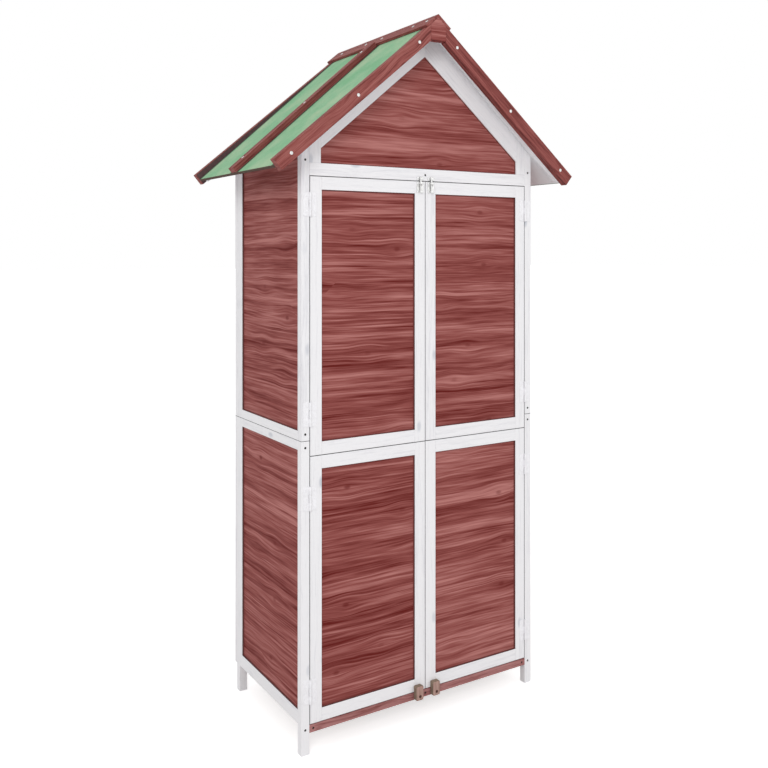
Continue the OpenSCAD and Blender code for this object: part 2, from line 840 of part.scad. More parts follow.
module bolt_rod(right) {
    color(zinc) side(right) {
        translate([bolt_x, rod_y, rod_bottom]) cylinder(r = rod_r, h = rod_l);
        rod_y_axis(bolt_x, knob_z, knob_r, rod_y - rod_r - knob_l, rod_y);
    }
}

module bolt_keepers() {
    color(zinc) both_sides() {
        difference() {
            block(bolt_x - keeper_screw_x - plate_screw_edge, bolt_x + keeper_screw_x + plate_screw_edge,
                front_y - bolt_plate_t, front_y, keeper_z0, keeper_z0 + keeper_h);
            for (dx = [-keeper_screw_x, keeper_screw_x])
                rod_y_axis(bolt_x + dx, keeper_z0 + keeper_h / 2, small_hole_r,
                    front_y - 2 * bolt_plate_t, front_y + 1);
        }
        rod_loop(keeper_z0 + (keeper_h - guide_h) / 2, keeper_play);
    }
}

// Turn buttons

// A rectangle with round corners, from -w/2 to w/2 and from y0 to y1
module round_rect(w, y0, y1, r) {
    translate([-w / 2, y0 + r]) square([w, y1 - y0 - 2 * r]);
    translate([-w / 2 + r, y0]) square([w - 2 * r, y1 - y0]);
    for (x = [-w / 2 + r, w / 2 - r]) for (y = [y0 + r, y1 - r]) translate([x, y]) circle(r = r);
}

module turn_button(right) {
    color(bare_wood) side(right) translate([button_x, button_y1, button_z]) rotate([90, 0, 0])
        linear_extrude(button_t) difference() {
            round_rect(button_w, -button_down, button_up, button_corner_r);
            circle(r = button_screw_r + button_screw_play);
        }
}

module button_screws() {
    color(black_steel) both_sides() {
        rod_y_axis(button_x, button_z, button_head_r, button_y0 - button_gap - button_head_h,
            button_y0 - button_gap);
        rod_y_axis(button_x, button_z, button_screw_r, button_y0 - button_gap, front_y + button_screw_bite);
    }
}

// One name for each moving or paired piece

module door_frame_upper_left() { upper_frame(false); }
module door_frame_upper_right() { upper_frame(true); }
module door_frame_lower_left() { lower_frame(false); }
module door_frame_lower_right() { lower_frame(true); }
module door_planks_upper_left() { upper_planks(false); }
module door_planks_upper_right() { upper_planks(true); }
module door_planks_lower_left() { lower_planks(false); }
module door_planks_lower_right() { lower_planks(true); }
module hinge_plates_upper_left() { door_plates(false, upper_hinges); }
module hinge_plates_upper_right() { door_plates(true, upper_hinges); }
module hinge_plates_lower_left() { door_plates(false, lower_hinges); }
module hinge_plates_lower_right() { door_plates(true, lower_hinges); }
module door_screws_upper_left() { upper_screws(false); }
module door_screws_upper_right() { upper_screws(true); }
module door_screws_lower_left() { lower_screws(false); }
module door_screws_lower_right() { lower_screws(true); }
module bolt_base_left() { bolt_base(false); }
module bolt_base_right() { bolt_base(true); }
module bolt_rod_left() { bolt_rod(false); }
module bolt_rod_right() { bolt_rod(true); }
module button_left() { turn_button(false); }
module button_right() { turn_button(true); }

front_posts_lower();
back_posts_lower();
front_posts_upper();
back_posts_upper();
side_rails_lower();
side_rails_upper();
side_planks_lower();
side_planks_upper();
back_frame_lower();
back_frame_upper();
back_planks_lower();
back_planks_upper();
front_sill();
back_sill();
floor_bearers();
floor_boards();
front_header();
back_header();
door_stop();
frame_dowels();
front_gable_frame();
back_gable_frame();
gable_planks();
roof_boards();
roofing_felt();
verge_battens();
bargeboards();
apex_blocks();
roof_battens();
ridge_cap();
frame_screws();
roof_screws();
hinge_post_plates();
hinge_pins();
hardware_screws();
bolt_keepers();
button_screws();
door_frame_upper_left();
door_frame_upper_right();
door_frame_lower_left();
door_frame_lower_right();
door_planks_upper_left();
door_planks_upper_right();
door_planks_lower_left();
door_planks_lower_right();
hinge_plates_upper_left();
hinge_plates_upper_right();
hinge_plates_lower_left();
hinge_plates_lower_right();
door_screws_upper_left();
door_screws_upper_right();
door_screws_lower_left();
door_screws_lower_right();
bolt_base_left();
bolt_base_right();
bolt_rod_left();
bolt_rod_right();
button_left();
button_right();
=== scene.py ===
"""Looks of a slim wooden tool shed: painted frames, stained planks, a felt roof and its ironmongery."""

import math
import random

import bmesh
import bpy
from bpy.props import FloatProperty, FloatVectorProperty, IntProperty, PointerProperty
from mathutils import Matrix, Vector


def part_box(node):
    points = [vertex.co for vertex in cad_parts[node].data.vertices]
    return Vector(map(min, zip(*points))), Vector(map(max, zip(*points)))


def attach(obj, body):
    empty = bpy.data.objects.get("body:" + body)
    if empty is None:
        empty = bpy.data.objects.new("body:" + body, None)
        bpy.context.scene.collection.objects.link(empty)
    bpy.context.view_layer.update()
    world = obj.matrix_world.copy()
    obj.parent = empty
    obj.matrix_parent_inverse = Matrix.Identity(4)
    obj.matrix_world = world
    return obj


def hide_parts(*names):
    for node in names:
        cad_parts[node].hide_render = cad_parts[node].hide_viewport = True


bl_info = {
    "name": "Tool shed",
    "version": (1, 0, 0),
    "blender": (4, 5, 0),
    "location": "3D View > Sidebar > Tool Shed",
    "description": "Dresses the packed tool shed with wood, felt and metal, and lights it",
    "category": "Object",
}

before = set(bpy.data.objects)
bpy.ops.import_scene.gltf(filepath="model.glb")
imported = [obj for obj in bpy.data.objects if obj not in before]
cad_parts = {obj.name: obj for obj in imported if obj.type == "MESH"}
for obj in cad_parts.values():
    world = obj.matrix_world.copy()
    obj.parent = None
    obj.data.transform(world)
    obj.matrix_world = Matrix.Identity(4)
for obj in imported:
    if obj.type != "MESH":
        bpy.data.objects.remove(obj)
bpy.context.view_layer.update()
MM = 0.001

DOORS = ("upper_left", "upper_right", "lower_left", "lower_right")
SIDES = ("left", "right")
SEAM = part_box("side_rails_lower")[1].z
SILL_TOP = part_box("front_sill")[1].z

# The kinds of nodes used most
MATH = "ShaderNodeMath"
VECTOR_MATH = "ShaderNodeVectorMath"
MAP_RANGE = "ShaderNodeMapRange"

# Directions in the frame, and the cosine above which two directions count as one
RIGHTWARDS = (1, 0, 0)
BACKWARDS = (0, 1, 0)
UPWARDS = (0, 0, 1)
SAME_WAY = 0.99


def linear(hex_colour):
    """A colour written as sRGB hex, as linear red, green, blue and alpha, by the sRGB standard's curve."""
    parts = []
    for i in (1, 3, 5):
        c = int(hex_colour[i:i + 2], 16) / 255
        parts.append(c / 12.92 if c <= 0.04045 else ((c + 0.055) / 1.055) ** 2.4)
    return (*parts, 1.0)


def add(tree, kind, settings=None, **attributes):
    """Adds a node. Settings are its inputs by name or number: a socket is linked, anything else is set."""
    made = tree.nodes.new(kind)
    for key, value in attributes.items():
        setattr(made, key, value)
    for key, value in (settings or {}).items():
        if isinstance(value, bpy.types.NodeSocket):
            tree.links.new(value, made.inputs[key])
        else:
            made.inputs[key].default_value = value
    return made


def swatch(name, description, hex_colour):
    """A colour property whose default is given as sRGB hex."""
    return FloatVectorProperty(name=name, description=description, default=linear(hex_colour), size=4,
                               subtype="COLOR", min=0.0, max=1.0)


def millimetres(name, description, default, low, high):
    """A length property whose default and limits are given in millimetres."""
    return FloatProperty(name=name, description=description, default=default * MM, min=low * MM,
                         max=high * MM, unit="LENGTH")


class ShedColours(bpy.types.PropertyGroup):
    """Colours of the paint, stains, felt and metal."""

    white: swatch("White paint", "Paint of the frames and posts", "#F1F0F2")
    white_streak: swatch("White streaks", "Grain that shows through the white paint", "#DAD9DE")
    white_knot: swatch("White knots", "Knots that show through the white paint", "#B4B9C4")
    plank_light: swatch("Plank light", "Early wood of the stained planks", "#B87A75")
    plank: swatch("Plank", "Middle tone of the stained planks", "#904F4B")
    plank_dark: swatch("Plank dark", "Late wood of the stained planks", "#641E1B")
    # Painted shade: the dark colour in the groove round the planks stands in for the shadow in that corner
    groove_shade: swatch("Groove", "Glaze that has dried in the corners round the planks", "#6A3431")
    # Painted shade: the dark colour on the frame's faces beside the planks, and on the back bargeboards'
    # inner faces, stands in for the shade there
    reveal: swatch("Reveal", "Glaze smeared on the frame's edges beside the planks", "#5C4446")
    # Painted shade, with some dust: the dark colour of the seam between the halves and of the posts' faces
    # beside the door gaps stands in for the shade in these gaps
    joint: swatch("Joint", "Dust between the halves, and by the doors", "#77777A")
    # Painted shade: the grey of the leaves' edges stands in for the shade in the gaps round the doors
    thin_white: swatch("Thin white", "Thin paint on the edges of the door leaves", "#AAAAAC")
    trim_light: swatch("Trim light", "Early wood of the stained roof timber", "#A66862")
    trim: swatch("Trim", "Middle tone of the stained roof timber", "#8B4A46")
    trim_dark: swatch("Trim dark", "Late wood of the stained roof timber", "#54211F")
    sill_light: swatch("Sill light", "Early wood of the sills, whose glaze is thin", "#B98886")
    sill: swatch("Sill", "Middle tone of the sills", "#A87472")
    sill_dark: swatch("Sill dark", "Late wood of the sills", "#7E4744")
    bare_light: swatch("Bare wood light", "Early wood of the turn buttons and floor", "#C4A79A")
    bare: swatch("Bare wood", "Middle tone of the turn buttons and floor", "#AB8A80")
    bare_dark: swatch("Bare wood dark", "Late wood of the turn buttons and floor", "#7D5F52")
    # Painted shade: the darker colour on all the turn buttons' faces but the front stands in for the shade on
    # them
    bare_shade: swatch("Bare wood shade", "Grime on the sides of the turn buttons", "#847263")
    felt: swatch("Felt", "Mineral granules of the roofing felt", "#8FBE96")
    felt_dark: swatch("Felt dark", "Darker patches of the roofing felt", "#80B88C")
    felt_light: swatch("Felt light", "Paler patches of the roofing felt", "#A6C6A0")
    # Bare bitumen, darker too as painted shade on the felt's faces that look down
    felt_edge: swatch("Felt edge", "Bare bitumen at the lower edge of the felt", "#54433A")
    zinc: swatch("Zinc", "Zinc plating of the bolts and roof screws", "#D0D0CF")
    black_steel: swatch("Black steel", "Phosphated steel of the sunk screws", "#2B2927")
    brown_steel: swatch("Brown steel", "Rusty steel of the screws in the turn buttons", "#4A2A22")
    white_metal: swatch("White metal", "Paint of the hinges and their screws", "#F2F1F4")
    ground: swatch("Ground", "Colour of the plain floor", "#E6E6E6")


class ShedSizes(bpy.types.PropertyGroup):
    """Sizes of the details that the solids leave out."""

    wood_round: millimetres("Wood edge", "Radius of the sanded edges of the wood", 0.8, 0.2, 1.5)
    groove_width: millimetres("Groove width", "Width of the darker groove round the planks", 2.2, 0.5, 6.0)
    groove_depth: millimetres("Groove depth", "Depth of the groove round the planks", 1.5, 0.2, 3.0)
    button_round: millimetres("Button edge", "Radius of the edges of a turn button", 2.0, 0.5, 3.0)
    metal_round: millimetres("Metal edge", "Radius of the edges of the stamped metal", 0.25, 0.1, 0.4)
    plate_corner: millimetres("Plate corner", "Radius of the corners of a hinge or bolt plate", 2.0, 0.5, 3.0)
    plank_grain: millimetres("Plank grain", "Usual height of a grain band on the planks", 42.0, 10.0, 90.0)
    trim_grain: millimetres("Trim grain", "Usual width of a grain band on narrow timber", 9.0, 3.0, 30.0)
    granule: millimetres("Granule", "Size of a mineral granule as drawn on the felt", 2.4, 1.0, 5.0)
    felt_patch: millimetres("Felt patch", "Size of a paler or darker patch of the felt", 120.0, 40.0, 300.0)
    recess_width: FloatProperty(name="Recess width", default=0.22, min=0.1, max=0.4, subtype="FACTOR",
                                description="Width of a recess's slot, as a share of the head's radius")
    head_sides: IntProperty(name="Head sides", description="Sides of a screw head", default=20, min=12,
                            max=32)


# Materials

# Knots lie one to a cell. These are shares of the cell, and the push is in the knot's half widths to a cell
KNOT_SIZE = 0.035   # half the length and half the width
KNOT_CORE = 0.015   # where the colour starts to fade
KNOT_RIM = 0.055    # where the colour ends
KNOT_REACH = 0.3    # how far off the bands still part
KNOT_PUSH = 15      # how steeply they part

# The bands' slow waves to a metre along, across and through the board, and how far they sway, in bands
WAVES = (2.2, 6.0, 6.0)
SWAY = 0.55

# Where in the long noise the thin lines of painted highlight and of painted shade run, side by side as on the
# lit and shaded sides of a ridge, and how wide they are in it
HIGHLIGHT_LINE = 0.485
SHADE_LINE = 0.505
LINE_WIDTH = 0.012

# The part of a noise's range that most of its values lie in
NOISE_LOW = 0.3
NOISE_HIGH = 0.7

# How bright the felt is in its painted shade beside the boards, as a share of the felt away from them
FELT_SHADE = 0.15


def new_material(name):
    """A material with an empty tree, and its tree."""
    material = bpy.data.materials.new(name)
    material.use_nodes = True
    material.node_tree.nodes.clear()
    return material, material.node_tree


def finish_material(tree, settings):
    """Ends a material's tree in a shader with these settings."""
    shader = add(tree, "ShaderNodeBsdfPrincipled", settings)
    add(tree, "ShaderNodeOutputMaterial", {"Surface": shader.outputs["BSDF"]})


def set_stops(ramp, stops, colours):
    """Gives a colour ramp these colours at these places."""
    elements = ramp.color_ramp.elements
    while len(elements) < len(colours):
        elements.new(0.5)
    for element, place, colour in zip(elements, stops, colours):
        element.position = place
        element.color = colour


def apart(tree, value, centre):
    """How far a value is from a centre."""
    off = add(tree, MATH, {0: value, 1: centre}, operation="SUBTRACT")
    return add(tree, MATH, {0: off.outputs[0]}, operation="ABSOLUTE").outputs[0]


def wood(name, tones, stops, band, length, contrast, knot, knot_share, roughness=0.6, shine=0.12, relief=0.3,
         knot_size=(9 * MM, 6 * MM), lines=0.0):
    """A board cut from softwood, which reads its own grain attribute: along, across and through the board.

    tones are the colours from dark to light, and stops their places in the grain's spread. band and length
    are the usual width and length of a band of grain in metres, and contrast is the strength of the bands,
    streaks and pores. A knot has its own colour, shows by up to knot_share, and has a half length and half
    width in metres. shine is the specular level, and lines the strength of the thin lines of painted
    highlight and painted shade that run in pairs, as on the lit and shaded sides of a ridge in the grain.
    """
    material, tree = new_material(name)
    grain = add(tree, "ShaderNodeAttribute", attribute_name="grain").outputs["Vector"]
    tone = add(tree, "ShaderNodeAttribute", attribute_name="tone").outputs["Fac"]

    # Knots go right through the board, and the bands part round each
    half_length, half_width = knot_size
    cell_scale = (KNOT_SIZE / half_length, KNOT_SIZE / half_width, 0.0)
    cells = add(tree, VECTOR_MATH, {0: grain, 1: cell_scale}, operation="MULTIPLY")
    knots = add(tree, "ShaderNodeTexVoronoi", {"Vector": cells.outputs[0], "Scale": 1.0},
                voronoi_dimensions="2D")
    away = add(tree, VECTOR_MATH, {0: cells.outputs[0], 1: knots.outputs["Position"]}, operation="SUBTRACT")
    near = add(tree, MAP_RANGE, {
        "Value": knots.outputs["Distance"], "From Min": 0.0, "From Max": KNOT_REACH,
        "To Min": KNOT_PUSH * half_width, "To Max": 0.0}, interpolation_type="SMOOTHSTEP")
    push = add(tree, VECTOR_MATH, {0: away.outputs[0], "Scale": near.outputs[0]}, operation="SCALE")
    push = add(tree, VECTOR_MATH, {0: push.outputs[0], 1: (0.0, 1.0, 0.0)}, operation="MULTIPLY")
    parted = add(tree, VECTOR_MATH, {0: grain, 1: push.outputs[0]}, operation="SUBTRACT")

    # The bands wander up and down by a fraction of their width
    slow = add(tree, VECTOR_MATH, {0: parted.outputs[0], 1: WAVES}, operation="MULTIPLY")
    wander = add(tree, "ShaderNodeTexNoise", {"Vector": slow.outputs[0], "Scale": 1.0, "Detail": 2.0})
    sway = add(tree, VECTOR_MATH, {0: wander.outputs["Color"], 1: (0.0, SWAY * band, 0.0)},
               operation="MULTIPLY")
    flow = add(tree, VECTOR_MATH, {0: parted.outputs[0], 1: sway.outputs[0]}, operation="ADD")

    # Growth bands, finer streaks in them, pores, and long bands for the lines, by their sizes in the board
    layers = []
    for along, across, through in ((length, band, 2 * band), (length * 0.4, band / 2.8, band / 2),
                                   (length * 0.1, band / 9, band / 5), (length * 4, band, 2 * band)):
        stretched = add(tree, VECTOR_MATH, {
            0: flow.outputs[0], 1: (1 / along, 1 / across, 1 / through)}, operation="MULTIPLY")
        layers.append(add(tree, "ShaderNodeTexNoise", {
            "Vector": stretched.outputs[0], "Scale": 1.0, "Detail": 2.0, "Roughness": 0.55}).outputs["Fac"])
    streaks, pores, long_bands = layers[1:]
    total = tone
    for layer, weight in zip(layers, contrast):
        total = add(tree, MATH, {0: layer, 1: weight, 2: total}, operation="MULTIPLY_ADD").outputs[0]
    # A thin line of painted highlight and, beside it, one of painted shade
    for centre, weight in ((HIGHLIGHT_LINE, lines), (SHADE_LINE, -lines)):
        line = add(tree, MAP_RANGE, {
            "Value": apart(tree, long_bands, centre), "From Min": 0.0, "From Max": LINE_WIDTH,
            "To Min": weight, "To Max": 0.0}, interpolation_type="SMOOTHSTEP")
        total = add(tree, MATH, {0: total, 1: line.outputs[0]}, operation="ADD").outputs[0]

    # The grain's colours, and the knots on them, each stronger or fainter
    middle = sum(contrast) / 2
    spread = add(tree, MAP_RANGE, {"Value": total, "From Min": middle - 0.5, "From Max": middle + 0.5})
    ramp = add(tree, "ShaderNodeValToRGB", {"Fac": spread.outputs[0]})
    set_stops(ramp, stops, tones)
    core = add(tree, MAP_RANGE, {
        "Value": knots.outputs["Distance"], "From Min": KNOT_CORE, "From Max": KNOT_RIM,
        "To Min": knot_share, "To Max": 0.0}, interpolation_type="SMOOTHSTEP")
    chance = add(tree, "ShaderNodeSeparateColor", {0: knots.outputs["Color"]})
    core = add(tree, MATH, {0: core.outputs[0], 1: chance.outputs[0]}, operation="MULTIPLY")
    colour = add(tree, "ShaderNodeMix", {0: core.outputs[0], 6: ramp.outputs["Color"], 7: knot},
                 data_type="RGBA")

    # The streaks and pores stand out a little, and the streaks differ in gloss
    height = add(tree, MATH, {0: streaks, 1: 0.7, 2: pores}, operation="MULTIPLY_ADD")
    bump = add(tree, "ShaderNodeBump", {
        "Height": height.outputs[0], "Strength": relief, "Distance": 0.4 * MM})
    gloss = add(tree, MAP_RANGE, {"Value": streaks, "To Min": roughness - 0.08, "To Max": roughness + 0.08})
    finish_material(tree, {"Base Color": colour.outputs[2], "Roughness": gloss.outputs[0],
                           "Normal": bump.outputs[0], "Specular IOR Level": shine})
    return material


def felt_material(colours, sizes):
    """Bitumen roofing felt rolled with pale green mineral granules: no shine, fine grit and wide patches.

    Real granules are about 1 mm. They are drawn coarser, because such grit is too fine for the render.
    """
    material, tree = new_material("mineral_surfaced_felt")
    place = add(tree, "ShaderNodeTexCoord").outputs["Object"]
    patches = add(tree, "ShaderNodeTexNoise", {
        "Vector": place, "Scale": 1 / sizes.felt_patch, "Detail": 4.0, "Roughness": 0.6})
    ramp = add(tree, "ShaderNodeValToRGB", {"Fac": patches.outputs["Fac"]})
    set_stops(ramp, (0.36, 0.5, 0.66), (colours.felt_dark, colours.felt, colours.felt_light))
    grit = add(tree, "ShaderNodeTexVoronoi", {"Vector": place, "Scale": 1 / sizes.granule})
    granule_tone = add(tree, "ShaderNodeSeparateColor", {"Color": grit.outputs["Color"]})
    speckle = add(tree, MAP_RANGE, {"Value": granule_tone.outputs[0], "To Min": 0.93, "To Max": 1.05})
    shade = add(tree, VECTOR_MATH, {0: ramp.outputs["Color"], "Scale": speckle.outputs[0]},
                operation="SCALE")

    # Painted shade on the felt along the bargeboards and the middle batten, as in the shadow beside them: how
    # far from the middle of the roof or the batten the shade is darkest, and how far out it ends
    depth = add(tree, "ShaderNodeSeparateXYZ", {0: place}).outputs["Y"]
    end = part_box("roofing_felt")[1].y
    low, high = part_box("roof_battens")
    batten, half_batten = (low.y + high.y) / 2, (high.y - low.y) / 2
    for middle, shade_near, shade_far in ((0.0, end - 8 * MM, end - 20 * MM),
                                 (batten, half_batten + 6 * MM, half_batten + 15 * MM)):
        board_shade = add(tree, MAP_RANGE, {
            "Value": apart(tree, depth, middle), "From Min": shade_near, "From Max": shade_far,
            "To Min": FELT_SHADE, "To Max": 1.0})
        shade = add(tree, VECTOR_MATH, {0: shade.outputs[0], "Scale": board_shade.outputs[0]},
                    operation="SCALE")
    bump = add(tree, "ShaderNodeBump", {"Height": grit.outputs["Distance"], "Strength": 0.35,
               "Distance": 0.5 * MM})
    finish_material(tree, {"Base Color": shade.outputs[0], "Roughness": 0.95, "Normal": bump.outputs[0]})
    return material


def blotchy(tree, colour, size, low, high):
    """A colour in soft blotches of this size in metres, low to high times as bright, and their noise."""
    place = add(tree, "ShaderNodeTexCoord").outputs["Object"]
    noise = add(tree, "ShaderNodeTexNoise", {
        "Vector": place, "Scale": 1 / size, "Detail": 3.0}).outputs["Fac"]
    tint = add(tree, MAP_RANGE, {
        "Value": noise, "From Min": NOISE_LOW, "From Max": NOISE_HIGH, "To Min": low, "To Max": high})
    shade = add(tree, VECTOR_MATH, {0: tuple(colour)[:3], "Scale": tint.outputs[0]}, operation="SCALE")
    return shade.outputs[0], noise


def painted_shade_coat(name, colour, roughness):
    """A matt, blotchy colour for painted shade in a joint, gap or corner, and for the felt's bare bitumen."""
    material, tree = new_material(name)
    shade, _ = blotchy(tree, colour, 12 * MM, 0.85, 1.15)
    finish_material(tree, {"Base Color": shade, "Roughness": roughness, "Specular IOR Level": 0.2})
    return material


def coated_steel(name, colour, metallic, roughness, wear_size, relief):
    """Stamped or turned steel with a thin plating or paint: an even colour, with soft blotches."""
    material, tree = new_material(name)
    shade, wear = blotchy(tree, colour, wear_size, 0.94, 1.03)
    gloss = add(tree, MAP_RANGE, {
        "Value": wear, "From Min": NOISE_LOW, "From Max": NOISE_HIGH,
        "To Min": roughness - 0.06, "To Max": roughness + 0.06})
    bump = add(tree, "ShaderNodeBump", {"Height": wear, "Strength": relief, "Distance": 0.1 * MM})
    finish_material(tree, {"Base Color": shade, "Metallic": metallic, "Roughness": gloss.outputs[0],
                           "Normal": bump.outputs[0]})
    return material


def finishes():
    """Every material of the shed by its slot in the record or its own name, made at the first call."""
    made = bpy.data.materials
    if "white_painted_softwood" in made:
        return {m["slot"]: m for m in made if "slot" in m}
    c = bpy.context.scene.shed_colours
    s = bpy.context.scene.shed_sizes
    found = {
        # Planed softwood under thin white paint: nearly even, with faint streaks and a few bluish knots
        "white_paint": wood(
            "white_painted_softwood", (c.white_streak, c.white, c.white), (0.12, 0.5, 0.9),
            band=s.trim_grain, length=0.18, contrast=(0.7, 0.5, 0.5), knot=c.white_knot, knot_share=0.7,
            roughness=0.55, shine=0.2, relief=0.25, knot_size=(13 * MM, 6 * MM)),
        # Softwood with a red-brown glaze, cut so that the grain runs across: bold light and dark bands
        "red_stain": wood(
            "red_glazed_plank", (c.plank_dark, c.plank, c.plank_light), (0.06, 0.5, 0.96),
            band=s.plank_grain, length=1.3, contrast=(0.9, 1.2, 1.2), knot=c.plank_dark, knot_share=0.65,
            shine=0.05, knot_size=(9 * MM, 5 * MM), lines=0.2),
        # The same glaze on narrow planed timber, with narrow grain
        "trim_stain": wood(
            "red_glazed_trim", (c.trim_dark, c.trim, c.trim_light), (0.12, 0.5, 0.95),
            band=s.trim_grain, length=0.3, contrast=(1.0, 1.0, 0.8), knot=c.trim_dark, knot_share=0.8),
        # Thin, worn glaze: pinker and paler
        "sill_stain": wood(
            "thin_red_glaze", (c.sill_dark, c.sill, c.sill_light), (0.12, 0.5, 0.95),
            band=s.trim_grain, length=0.16, contrast=(0.9, 0.8, 0.5), knot=c.sill_dark, knot_share=0.8),
        # Unpainted softwood, grey-brown and dry, and painted shade on its sides
        "bare_wood": wood(
            "bare_softwood", (c.bare_dark, c.bare, c.bare_light), (0.1, 0.5, 0.95),
            band=s.trim_grain / 2, length=0.08, contrast=(0.8, 0.8, 0.5), knot=c.bare_dark, knot_share=0.6,
            roughness=0.75, shine=0.2, relief=0.35),
        "bare_shade": painted_shade_coat("grimy_bare_softwood", c.bare_shade, 0.8),
        # Painted shade: corners round the planks, frame edges beside them, joints with some dust, and edges
        # of the leaves
        "groove_shade": painted_shade_coat("pooled_red_glaze", c.groove_shade, 0.7),
        "reveal": painted_shade_coat("smeared_red_glaze", c.reveal, 0.7),
        "joint": painted_shade_coat("dust_in_joint", c.joint, 0.9),
        "thin_white": painted_shade_coat("thin_white_paint", c.thin_white, 0.7),
        # Rolled roofing felt, and the bare bitumen at its lower edge, darkened further as painted shade
        "roofing_felt": felt_material(c, s),
        "felt_edge": painted_shade_coat("bare_bitumen", c.felt_edge, 0.8),
        # Zinc-plated steel: bright and slightly mottled
        "zinc": coated_steel("zinc_plated_steel", c.zinc, 1.0, 0.45, 6 * MM, 0.15),
        # Black phosphated steel of the sunk screws: dull and dark
        "black_steel": coated_steel("black_phosphated_steel", c.black_steel, 0.6, 0.5, 3 * MM, 0.2),
        # Rusty steel of the turn buttons' screws: dull and brown
        "brown_steel": coated_steel("rusty_steel", c.brown_steel, 0.4, 0.6, 3 * MM, 0.3),
        # White paint on steel: smooth, with a soft shine
        "white_metal": coated_steel("white_painted_steel", c.white_metal, 0.0, 0.38, 8 * MM, 0.08),
    }
    for slot, material in found.items():
        material["slot"] = slot
    return found


# Pieces made from the CAD's solids

# Points closer than this are one, and faces at less than this angle, in degrees, are one flat face
ONE_POINT = 0.002 * MM
ONE_FACE = 0.5

# Edges of timber this short belong to screw holes
HOLE_EDGE = 5 * MM

# How far a board's grain is shifted, in metres, and how much its tone differs
GRAIN_SHIFT = 40
TONE_SPREAD = 0.07

# Broad faces of wall planks are larger than this, in square metres
BROAD_FACE = 0.01

# The corners of stamped plates are edges as long as the plate is thick
THINNEST_PLATE = 0.5 * MM
THICKEST_PLATE = 2.5 * MM

# Stamped metal is rounded at sharper edges than the first angle, in degrees, and smooth below the second
SHARP_METAL = 50
SMOOTH_METAL = 35


def solids_of(node):
    """A merged copy of a CAD node, with its flat faces whole again."""
    bm = bmesh.new()
    bm.from_mesh(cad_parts[node].data)
    bmesh.ops.remove_doubles(bm, verts=bm.verts, dist=ONE_POINT)
    bmesh.ops.dissolve_limit(bm, angle_limit=math.radians(ONE_FACE), verts=bm.verts, edges=bm.edges)
    return bm


def islands(bm):
    """The vertices of each separate solid."""
    left = set(bm.verts)
    found = []
    for start in bm.verts:
        if start not in left:
            continue
        left.discard(start)
        island, queue = [], [start]
        while queue:
            vert = queue.pop()
            island.append(vert)
            for edge in vert.link_edges:
                other = edge.other_vert(vert)
                if other in left:
                    left.discard(other)
                    queue.append(other)
        found.append(island)
    return found


def sharp_edges(bm, shortest, angle=30):
    """The edges between faces at more than this angle, in degrees, that are longer than the shortest."""
    return [e for e in bm.edges if e.is_manifold and e.calc_length() > shortest
            and e.calc_face_angle(0.0) > math.radians(angle)]


def round_edges(bm, edges, radius, segments=2):
    """Rounds these edges and shades the new faces smoothly."""
    made = bmesh.ops.bevel(bm, geom=edges, offset=radius, segments=segments, profile=0.5, affect="EDGES",
                           clamp_overlap=False)
    for face in made["faces"]:
        face.smooth = True


def order_faces(bm):
    """Puts the faces in the order of their points. Blender's own order differs from run to run."""
    bm.verts.index_update()
    ordered = sorted(bm.faces, key=lambda f: sorted(v.index for v in f.verts))
    places = {face: place for place, face in enumerate(ordered)}
    bm.faces.sort(key=places.get)


def longest_edge(island):
    """The direction of a solid's longest edge, which is the way its grain runs."""
    edges = dict.fromkeys(e for v in island for e in v.link_edges)
    longest = max(edges, key=lambda e: round(e.calc_length(), 6))
    return (longest.verts[1].co - longest.verts[0].co).normalized()


def mark_grain(bm, seed, direction):
    """Writes where each point lies along, across and through its board, and each board's own tone."""
    grain = bm.verts.layers.float_vector.new("grain")
    tone = bm.verts.layers.float.new("tone")
    for number, island in enumerate(islands(bm)):
        pick = random.Random(f"{seed} {number}")
        along = Vector(direction) if direction else longest_edge(island)
        if max(along, key=abs) < 0:
            along = -along
        other = Vector(UPWARDS) if abs(along.z) < 0.9 else Vector(RIGHTWARDS)
        across = (other - along * other.dot(along)).normalized()
        through = along.cross(across)
        shift = Vector([pick.uniform(0, GRAIN_SHIFT) for _ in range(3)])
        board_tone = pick.uniform(-TONE_SPREAD, TONE_SPREAD)
        for vert in island:
            vert[grain] = Vector((vert.co.dot(along), vert.co.dot(across), vert.co.dot(through))) + shift
            vert[tone] = board_tone


def finish_piece(name, mesh, body, nodes, names):
    """Puts a mesh with these finishes in the scene as a piece on its body, in place of its CAD nodes."""
    for each in names:
        mesh.materials.append(finishes()[each])
    piece = bpy.data.objects.new(name, mesh)
    bpy.context.scene.collection.objects.link(piece)
    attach(piece, body)
    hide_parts(*nodes)


def join_solids(name, parts):
    """One mesh from several."""
    whole = bmesh.new()
    for part in parts:
        mesh = bpy.data.meshes.new("part")
        part.to_mesh(mesh)
        part.free()
        whole.from_mesh(mesh)
        bpy.data.meshes.remove(mesh)
    mesh = bpy.data.meshes.new(name)
    whole.to_mesh(mesh)
    whole.free()
    return mesh


def pick_finishes(bm, node, pick, names):
    """Gives each face the finish that pick names for it, or the first name's, and lists new names."""
    for face in bm.faces:
        name = pick(node, face) or names[0]
        if name not in names:
            names.append(name)
        face.material_index = names.index(name)


